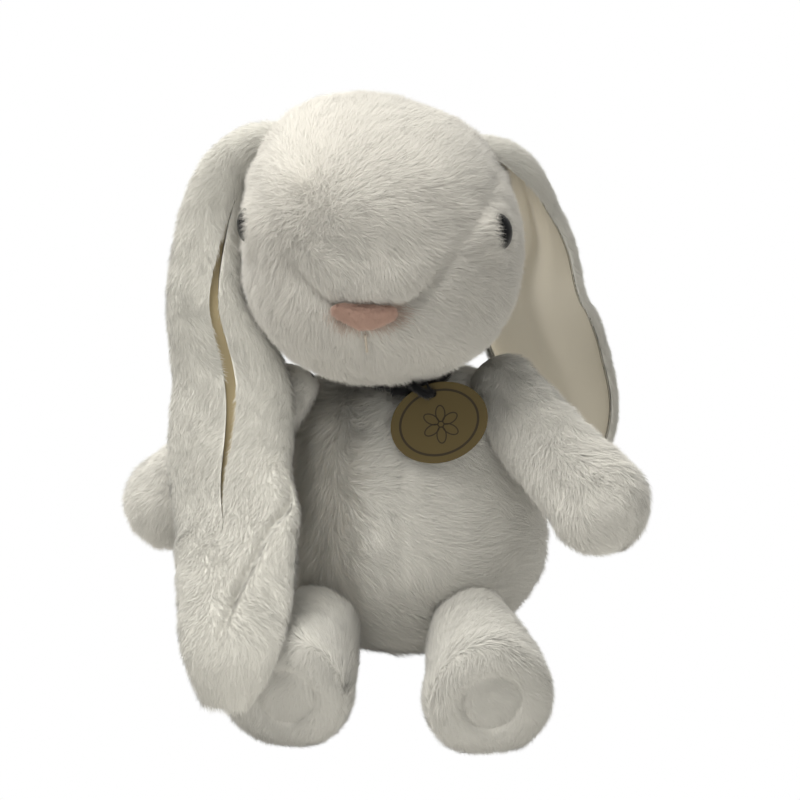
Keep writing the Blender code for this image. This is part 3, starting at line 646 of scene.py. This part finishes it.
# ---------------------------------------------------------------- limbs
def arc(centre, radius, start, end, steps):
    """Profile points (radius, height) on a circle about the axis, between two angles."""
    a = np.radians(np.linspace(start, end, steps + 1))
    return [(radius * math.cos(t), centre + radius * math.sin(t)) for t in a]


def along_path(profile, spacing=1.6 * MM):
    """The same profile with evenly spaced points."""
    profile = np.array(profile)
    run = np.concatenate(([0], np.cumsum(np.linalg.norm(np.diff(profile, axis=0), axis=1))))
    steps = max(4, int(run[-1] / spacing))
    s = np.linspace(0, run[-1], steps)
    return np.stack((np.interp(s, run, profile[:, 0]), np.interp(s, run, profile[:, 1])), -1)


def build_arm(side, sign):
    """One arm: a tube that widens to the round paw, with a seam between its two panels."""
    pivot = Vector(SHOULDER[side])
    droop, forward = math.radians(ARM_DROOP[side]), math.radians(ARM_FORWARD[side])
    along = np.array((sign * math.cos(droop) * math.cos(forward),
                      -math.cos(droop) * math.sin(forward), -math.sin(droop)))
    place = Matrix.Translation(pivot) @ aim(along, (0, -1, 0))
    profile = arc(0, ARM_ROOT_RADIUS, -86, -10, 14) + arc(ARM_LENGTH, PAW_RADIUS, -10, 89, 20)
    local = turned(along_path(profile), 64)
    local[..., 1] *= ARM_FLATTEN
    skin = Skin(moved(local, place), middle=np.array(pivot) + along * ARM_LENGTH * 0.6)
    edge = bump(np.abs(local[..., 1]), 2.2 * MM) * smooth(0, 0.02, local[..., 2])
    puff = noise(skin.points, size=26 * MM, seed=71 + sign) * 0.8 * MM - edge * 1.0 * MM
    skin.points = skin.points + skin.normals * puff[..., None]
    skin.pile = smooth(-0.014, -0.004, local[..., 2])
    skin.comb(along * 0.5 + np.array((0.35 * sign, 0, -0.7)))
    grown = strands(skin, count=66000, seed=SEEDS["arm"] + sign, pile=8.0 * MM, rise=21)
    inverse = np.array(place.inverted())

    for face, way in (("front", 1), ("back", -1)):
        def keep(p, way=way):
            return (p @ inverse[:3, :3].T + inverse[:3, 3])[:, 1] * way > 0
        plush(f"arm_{side}_{face}", f"arm_{side}", skin, grown, f"arm_{side}_{face}", keep)


def build_leg(side, sign):
    """One leg: a tube from the hip to a round foot whose sewn sole is sunk a little."""
    pivot = Vector(HIP * (sign, 1, 1))
    splay = math.radians(LEG_SPLAY[side])
    along = np.array((sign * math.sin(splay), -math.cos(splay), 0))
    place = Matrix.Translation(pivot) @ aim(along, (0, 0, 1))
    corner = 8 * MM
    flank = FOOT_RADIUS - corner
    profile = arc(0, LEG_ROOT_RADIUS, -86, -5, 14)
    rim = arc(LEG_LENGTH - corner + 2.0 * MM, corner, 0, 118, 14)
    profile += [(flank + r, z) for r, z in rim]
    profile += [(flank - 4.5 * MM, LEG_LENGTH - 0.5 * MM), (8 * MM, LEG_LENGTH + 0.6 * MM),
                (0.1 * MM, LEG_LENGTH + 0.9 * MM)]
    even = along_path(profile)
    tip = np.array(pivot) + along * LEG_LENGTH
    skin = Skin(moved(turned(even, 72), place), middle=np.array(pivot) + along * LEG_LENGTH * 0.5)
    puff = noise(skin.points, size=26 * MM, seed=91 + sign) * 0.8 * MM
    skin.points = skin.points + skin.normals * puff[..., None]
    skin.points[..., 2] = np.maximum(skin.points[..., 2], 0.5 * MM)
    skin = refresh(skin)
    skin.pile = np.broadcast_to(smooth(-0.016, -0.004, even[:, 1])[:, None],
                                skin.points.shape[:2]).copy()
    outward = unit(skin.points - tip)
    flat = smooth(0.070, 0.0745, even[:, 1])[:, None, None]
    # the pile runs round the leg, from the inside over the top, and down on the sole
    round_leg = np.cross(skin.normals, along) * sign
    lie = along * 0.25 + round_leg
    skin.comb(lie * (1 - flat) + (0.3 * outward + np.array((0.25 * sign, 0, -1.0))) * flat)
    grown = strands(skin, count=84000, seed=SEEDS["leg"] + sign, pile=7.0 * MM, rise=20, swirl=22)

    def from_axis(p):
        """Distance from the leg's axis, and whether the point is by the foot's end."""
        off = p - tip
        depth = off @ along
        return np.linalg.norm(off - depth[:, None] * along, axis=1), depth > -SOLE_DEPTH

    def on_sole(p):
        reach, at_end = from_axis(p)
        return (reach < SOLE_RADIUS) & at_end

    def on_tube(p):
        return ~on_sole(p)
    roots, corners, shade = grown
    reach, at_end = from_axis(roots)
    short = 1 - 0.35 * smooth(SOLE_RADIUS + 3 * MM, SOLE_RADIUS - 3 * MM, reach) * at_end
    corners = roots[:, None] + (corners - roots[:, None]) * short[:, None, None]
    grown = roots, corners, shade
    plush(f"leg_{side}_pile", f"leg_{side}", skin, grown, f"leg_{side}_skin", on_tube,
          LEG_PLUSH_SHADED)
    plush(f"sole_{side}_pile", f"leg_{side}", skin, grown, f"sole_{side}", on_sole, LEG_PLUSH_SHADED)


# ---------------------------------------------------------------- ears
def ear_grid(line, yaw, rows, columns, inset, first=0.0, last=1.0):
    """A grid over the rolled ear from root to tip and from one open edge round to the other."""
    line = np.array(line, float)
    count = len(line) - 1
    t = np.linspace(first, last, rows) * count

    def at(t):
        index = np.clip(t.astype(int), 0, count - 1)
        s = (t - index)[:, None]
        a, b, c, d = (line[np.clip(index + k, 0, count)] for k in (-1, 0, 1, 2))
        return 0.5 * (2 * b + (c - a) * s + (2 * a - 5 * b + 4 * c - d) * s * s
                      + (3 * b - a - 3 * c + d) * s ** 3)
    here = at(t)
    down = unit(at(np.minimum(t + 0.1, count))[:, :3] - at(np.maximum(t - 0.1, 0))[:, :3])
    yaw = math.radians(yaw)
    front = tangent(np.array((math.sin(yaw), -math.cos(yaw), 0)) + 0 * down, down)
    across = np.cross(front, down)
    share = np.linspace(0, 1, columns)
    middle, half = here[:, 5:6], here[:, 6:7]
    angle = middle + half + (360 - 2 * half) * share
    turn = np.radians(angle)[..., None]
    width = (here[:, 3] * MM - inset)[:, None, None]
    depth = (here[:, 4] * MM - inset)[:, None, None]
    points = (here[:, None, :3] * MM + across[:, None] * np.sin(turn) * width
              + front[:, None] * np.cos(turn) * depth)
    return points, here, down, front, across, angle


def sheet_piece(outside, inside):
    """A closed cloth sheet from its outside and inside grids."""
    rows, columns = outside.points.shape[:2]
    count = rows * columns
    i, j = np.meshgrid(np.arange(rows - 1), np.arange(columns - 1), indexing="ij")
    a = (i * columns + j).ravel()
    outer = np.stack((a, a + 1, a + columns + 1, a + columns), 1)
    inner = outer[:, ::-1] + count
    edge = np.concatenate((np.arange(columns), np.arange(1, rows) * columns + columns - 1,
                           np.arange(columns - 2, -1, -1) + (rows - 1) * columns,
                           np.arange(rows - 2, 0, -1) * columns))
    following = np.roll(edge, -1)
    rim = np.stack((edge, edge + count, following + count, following), 1)
    if outside.flip:
        outer, inner, rim = outer[:, ::-1], inner[:, ::-1], rim[:, ::-1]
    points = np.concatenate((outside.points.reshape(-1, 3), inside.points.reshape(-1, 3)))
    normals = np.concatenate((outside.normals.reshape(-1, 3), -inside.normals.reshape(-1, 3)))
    return points, normals, [outer, inner, rim]


def build_ear(side, line, shape, count):
    """The plush outside with short pile, and the smooth lining inside it."""
    rows, columns = 120, 96
    yaw = EAR_YAW[side]
    body = f"ear_{side}"
    skins = []
    # the right ear's lining runs on behind its slot, so that nothing shows through
    rolled = [(*station[:6], -2 if side == "right" else station[6]) for station in line]
    deep = LINING_INSET[side]
    for stations, inset in ((line, 0.0), (line, CLOTH_THICK), (rolled, deep),
                            (rolled, deep + LINING_THICK)):
        points, here, down, front, across, angle = ear_grid(stations, yaw, rows, columns, inset)
        points = shape(points, here, front, across, angle)
        skin = Skin(points, closed=False)
        axis = here[:, None, :3] * MM
        if np.sum(skin.normals * (points - axis)) < 0:
            skin = Skin(points, closed=False, outward=-1.0)
        skins.append(skin)
    outside, inside, lining_out, lining_in = skins
    outside.comb(down[:, None] + 0 * outside.points)
    outside.pile = np.ones((rows, columns))
    grown = strands(outside, count, SEEDS[body], pile=4.2 * MM, width=0.24 * MM, swirl=20,
                    tuft=2.2 * MM, gather=0.3)
    cloth = put_mesh(f"ear_{side}_plush", [sheet_piece(outside, inside), strand_piece(grown)],
                     EAR_PLUSH_SHADED)
    # the right ear's lining takes the darker copy of the lining colour, as painted shade
    lining = put_mesh(f"ear_{side}_inside", [sheet_piece(lining_out, lining_in)],
                      SHADED_LINING if side == "right" else LINING)
    for obj, slot, node in ((cloth, "plush", f"ear_{side}_outer"),
                            (lining, "ear_lining", f"ear_{side}_lining")):
        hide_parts(node)
        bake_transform(obj)


def right_shape(points, here, front, across, angle):
    """The right ear: soft dents, and the slanting fold where it drapes over the leg."""
    width = here[:, None, 3] * MM
    u = np.sum((points - here[:, None, :3] * MM) * across[:, None], -1) / width
    run = np.linspace(0, 1, points.shape[0])[:, None]
    face = smooth(0.0, 0.5, np.cos(np.radians(angle)))
    fold = run - (0.70 + 0.17 * (1 - u) / 1.1)
    valley = bump(fold, 0.018) * smooth(-0.35, 0.1, u) * face
    beyond = smooth(0.0, 0.03, fold) * smooth(0.16, 0.05, fold) * smooth(-0.3, 0.3, u) * face
    ripple = noise(points, size=30 * MM, seed=33) * 1.2 * MM
    push = ripple + 1.6 * MM * beyond - 3.6 * MM * valley
    return points + front[:, None] * push[..., None]


def left_shape(points, here, front, across, angle):
    """The left ear: an open cup whose lining has a long soft crease."""
    width = here[:, None, 3] * MM
    u = np.sum((points - here[:, None, :3] * MM) * across[:, None], -1) / width
    run = np.linspace(0, 1, points.shape[0])[:, None]
    crease = bump(u + 0.1 - 0.5 * (run - 0.5), 0.22) * bump(run - 0.5, 0.22)
    ripple = noise(points, size=34 * MM, seed=35) * 1.1 * MM
    return points + front[:, None] * (ripple + 3.0 * MM * crease)[..., None]


# ---------------------------------------------------------------- ribbon, tag and threads
def tube(points, radius, columns=10, closed=False):
    """A round cord through the points."""
    points = np.array(points, float)
    if closed:
        along = unit(np.roll(points, -1, 0) - np.roll(points, 1, 0))
        points = np.concatenate((points, points[:1]))
        along = np.concatenate((along, along[:1]))
    else:
        along = unit(np.gradient(points, axis=0))
    side = unit(np.cross(along, UP + 0.01))
    other = np.cross(along, side)
    a = np.linspace(0, 2 * math.pi, columns, endpoint=False)[None, :, None]
    grid = points[:, None] + (side[:, None] * np.cos(a) + other[:, None] * np.sin(a)) * radius
    skin = Skin(grid)
    if np.sum(skin.normals * (grid - points[:, None])) < 0:
        skin = Skin(grid, outward=-1.0)
    skin.comb(along[:, None] + 0 * grid)
    return skin


def curve_points(spots, steps=12):
    """A smooth run of points through the given ones."""
    spots = np.array(spots, float)
    found = []
    for i in range(len(spots) - 1):
        a, b, c, d = (spots[min(max(i + k, 0), len(spots) - 1)] for k in (-1, 0, 1, 2))
        for s in np.arange(steps) / steps:
            found.append(0.5 * (2 * b + (c - a) * s + (2 * a - 5 * b + 4 * c - d) * s * s
                                + (3 * b - a - 3 * c + d) * s ** 3))
    found.append(spots[-1])
    return np.array(found)


def fuzzy_cord(path, radius, count, seed, pile, rise, closed=False):
    """The mesh pieces of a black cord with short fuzz."""
    cord = tube(path, radius, closed=closed)
    fuzz = strands(cord, count, seed, pile, width=0.2 * MM, rise=rise, tuft=1.2 * MM)
    return [skin_piece(cord), strand_piece(fuzz)]


def build_ribbon():
    """The ribbon round the neck, drawn in behind the knot's sides, and the knot's loops."""
    a = np.linspace(0, 2 * math.pi, 90, endpoint=False)
    toward_knot = math.atan2(KNOT[1] - NECK[1], KNOT[0] - NECK[0])
    radius = RIBBON_RADIUS - 5.5 * MM * (1 - np.exp((np.cos(a - toward_knot) - 1) / 0.03))
    ring = np.stack((NECK[0] + radius * np.cos(a), NECK[1] + radius * np.sin(a),
                     RIBBON_Z + 0.5 * MM * np.sin(5 * a)), -1)
    band = fuzzy_cord(ring, 1.5 * MM, 5000, SEEDS["ribbon"], 2.4 * MM, rise=48, closed=True)
    attach(put_mesh("neck_ribbon_cord", band, CORD), "torso", "ribbon", "neck_ribbon")
    parts = []
    for k, spots in enumerate((
            ((0, 0, 0), (-6, -1.5, 1.6), (-13, 0, 1.8), (-17, 1.5, 0.4), (-12, -1.2, -0.6),
             (-5, -2, -0.4), (0.5, -1, 0)),
            ((0, 0, 0), (4, -2.5, 1.8), (5.5, -3.5, -1.2), (2.5, -3, -3.2), (0, -1, -0.5)),
            ((0, -0.5, 0.5), (-8, -2, -1.6), (-14, -1, -2.2)))):
        path = curve_points(np.array(spots) * MM + KNOT)
        parts += fuzzy_cord(path, 1.25 * MM, 1500, SEEDS["knot"] + k, 2.6 * MM, rise=46)
    attach(put_mesh("ribbon_knot_loops", parts, CORD), "torso", "ribbon", "ribbon_knot")


def build_bow():
    """A fuzzy turn of the black cord that lies over the top edge of the tag."""
    spots = np.array(((11, -37, 131.5), (6.5, -41, 132.8), (7.5, -46.5, 133), (12.5, -48.6, 130.6),
                      (13.6, -45, 130.6))) * MM
    turn = fuzzy_cord(curve_points(spots), 1.2 * MM, 1400, SEEDS["bow"], 2.6 * MM, rise=44)
    attach(put_mesh("tag_cord_bow", turn, CORD), "tag", "ribbon")


def flat_line(path, half_width, height):
    """A thin printed line on the tag's face: a strip along a closed path in the tag's plane."""
    along = unit(np.roll(path, -1, 0) - np.roll(path, 1, 0))
    side = np.stack((-along[:, 1], along[:, 0]), -1)
    both = np.stack((path + side * half_width, path - side * half_width), 1)
    points = np.concatenate((both, np.full((*both.shape[:2], 1), height)), -1)
    count = len(path)
    a = np.arange(count) * 2
    b = (np.arange(count) + 1) % count * 2
    faces = np.stack((a, a + 1, b + 1, b), 1)
    return points.reshape(-1, 3), faces


def build_tag():
    """The oval card with its hole, and a ring and a flower printed on its face."""
    lean = Matrix.Rotation(math.radians(90 - TAG_LEAN), 4, "X")
    turn = lean @ Matrix.Rotation(math.radians(TAG_ROLL), 4, "Z")
    place = Matrix.Translation(TAG_CENTRE) @ turn
    a = np.linspace(0, 2 * math.pi, 120, endpoint=False)
    circle = np.stack((np.cos(a), np.sin(a)), -1)
    oval = circle * TAG_HALF
    hole_local = Matrix.Rotation(math.radians(-TAG_ROLL), 3, "Z") @ TAG_HOLE
    hole = circle * TAG_HOLE_RADIUS + np.array(hole_local)[:2]
    rings = [(oval * grow, up) for grow, up in ((0.985, -0.5), (1, -0.42), (1, 0.42), (0.985, 0.5))]
    rings += [(hole, 0.5), (hole, -0.5), rings[0]]
    grid = np.array([np.concatenate((ring, np.full((len(a), 1), up * TAG_THICK)), -1)
                     for ring, up in rings])
    grid = moved(grid, place)
    skin = Skin(grid)
    up_way = np.array(turn.to_3x3() @ Vector((0, 0, 1)))
    skin.flip = np.dot(np.cross(grid[3, 1] - grid[3, 0], grid[4, 0] - grid[3, 0]), up_way) < 0
    points, _, faces = skin_piece(skin)
    card = plain_mesh("hang_tag_card", points, faces[0], CARD)
    attach(card, "tag", "tag_card", "hang_tag")

    top = TAG_THICK / 2 + 0.05 * MM
    lines = [flat_line(oval * 0.80, 0.5 * MM, top)]
    flower = np.array((0.5, -1.0)) * MM
    for k in range(6):
        turn_by = math.radians(60 * k + 15)
        petal = np.stack((4.7 + 3.5 * np.cos(a), 2.0 * np.sin(a)), -1) * MM
        spin = np.array(((math.cos(turn_by), -math.sin(turn_by)),
                         (math.sin(turn_by), math.cos(turn_by))))
        lines.append(flat_line(petal @ spin.T + flower, 0.26 * MM, top))
    lines.append(flat_line(circle * 1.3 * MM + flower, 0.16 * MM, top))
    points = np.concatenate([spots for spots, _ in lines])
    before = np.cumsum([0] + [len(spots) for spots, _ in lines])
    faces = np.concatenate([group + base for (_, group), base in zip(lines, before)])
    attach(plain_mesh("tag_print", moved(points, place), faces, INK), "tag", "tag_card")


def dress_small_parts():
    """Finishes for the CAD nodes that are shown as they are."""
    looks = {"tag_cord": CORD, "mouth_stitch": MOUTH, "neck_seam_thread": THREAD,
             "back_seam_thread": THREAD, "care_label": SATIN}
    for name, look in looks.items():
        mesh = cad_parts[name].data
        mesh.materials.clear()
        mesh.materials.append(look)


# ---------------------------------------------------------------- lights, floor and camera
def camera_sees(shown, other, output, tree):
    """Feeds an output one shader for what the camera sees and another for all other light."""
    mix = tree.nodes.new("ShaderNodeMixShader")
    path = tree.nodes.new("ShaderNodeLightPath")
    tree.links.new(path.outputs["Is Camera Ray"], mix.inputs["Fac"])
    tree.links.new(other.outputs[0], mix.inputs[1])
    tree.links.new(shown.outputs[0], mix.inputs[2])
    tree.links.new(mix.outputs[0], output.inputs["Surface"])


def build_world():
    """White behind the toy, and a soft warm fill from all round."""
    world = bpy.data.worlds.new("studio")
    bpy.context.scene.world = world
    world.use_nodes = True
    nodes = world.node_tree.nodes
    nodes.clear()
    out = nodes.new("ShaderNodeOutputWorld")
    seen = nodes.new("ShaderNodeBackground")
    seen.inputs["Color"].default_value = (1, 1, 1, 1)
    fill = nodes.new("ShaderNodeBackground")
    fill.inputs["Color"].default_value = (1.0, 0.99, 0.95, 1)
    fill.inputs["Strength"].default_value = 0.46
    camera_sees(seen, fill, out, world.node_tree)


def build_lights():
    """Square lamps: place (m), size (m), power (W) and colour of each."""
    for name, where, size, power, colour in (
            ("top_light", (-0.32, -0.22, 1.10), 0.7, 11.4, (1.0, 0.98, 0.93)),
            ("low_light", (0.06, -0.60, 0.03), 0.5, 0.30, (1.0, 0.98, 0.94)),
            ("seat_light", (0.0, -0.30, 0.05), 0.12, 0.070, (1.0, 0.98, 0.94)),
            ("front_light", (0.45, -1.1, 0.75), 0.9, 1.1, (1.0, 0.98, 0.93))):
        light = bpy.data.lights.new(name, "AREA")
        light.size = size
        light.energy = power
        light.color = colour
        lamp = bpy.data.objects.new(name, light)
        lamp.location = where
        lamp.rotation_euler = (Vector((0, -0.03, 0.12)) - Vector(where)).to_track_quat(
            "-Z", "Y").to_euler()
        bpy.context.scene.collection.objects.link(lamp)
        lamp.visible_camera = False


def build_floor():
    """A pale floor that the camera sees as white."""
    look = bpy.data.materials.new("floor_white")
    look.use_nodes = True
    nodes = look.node_tree.nodes
    nodes.clear()
    out = nodes.new("ShaderNodeOutputMaterial")
    plain = nodes.new("ShaderNodeBsdfDiffuse")
    plain.inputs["Color"].default_value = (0.76, 0.75, 0.73, 1)
    glow = nodes.new("ShaderNodeEmission")
    camera_sees(glow, plain, out, look.node_tree)
    corners = np.array(((-2, -2, 0), (2, -2, 0), (2, 2, 0), (-2, 2, 0)))
    plain_mesh("floor", corners, np.array(((0, 1, 2, 3),)), look)


def build_camera():
    """The camera, turned round the toy by its azimuth and raised by its elevation."""
    azimuth, elevation, distance = math.radians(4), math.radians(19), 0.85
    way = Vector((-math.sin(azimuth) * math.cos(elevation),
                  math.cos(azimuth) * math.cos(elevation), -math.sin(elevation)))
    camera = bpy.data.objects.new("camera", bpy.data.cameras.new("camera"))
    camera.data.lens = 85
    camera.data.sensor_width = 36
    camera.data.shift_x = -0.003
    camera.location = Vector((0, -0.020, 0.118)) - way * distance
    camera.rotation_euler = way.to_track_quat("-Z", "Y").to_euler()
    bpy.context.scene.collection.objects.link(camera)
    bpy.context.scene.camera = camera


bpy.context.scene.view_settings.view_transform = "Standard"
bpy.context.scene.view_settings.look = "None"
build_torso()
build_tail()
build_head()
build_eyes()
build_nose()
for SIDE, SIGN in (("left", 1), ("right", -1)):
    build_arm(SIDE, SIGN)
    build_leg(SIDE, SIGN)
build_ear("right", EAR_RIGHT, right_shape, count=90000)
build_ear("left", EAR_LEFT, left_shape, count=66000)
build_ribbon()
build_bow()
build_tag()
dress_small_parts()
build_world()
build_lights()
build_floor()
build_camera()
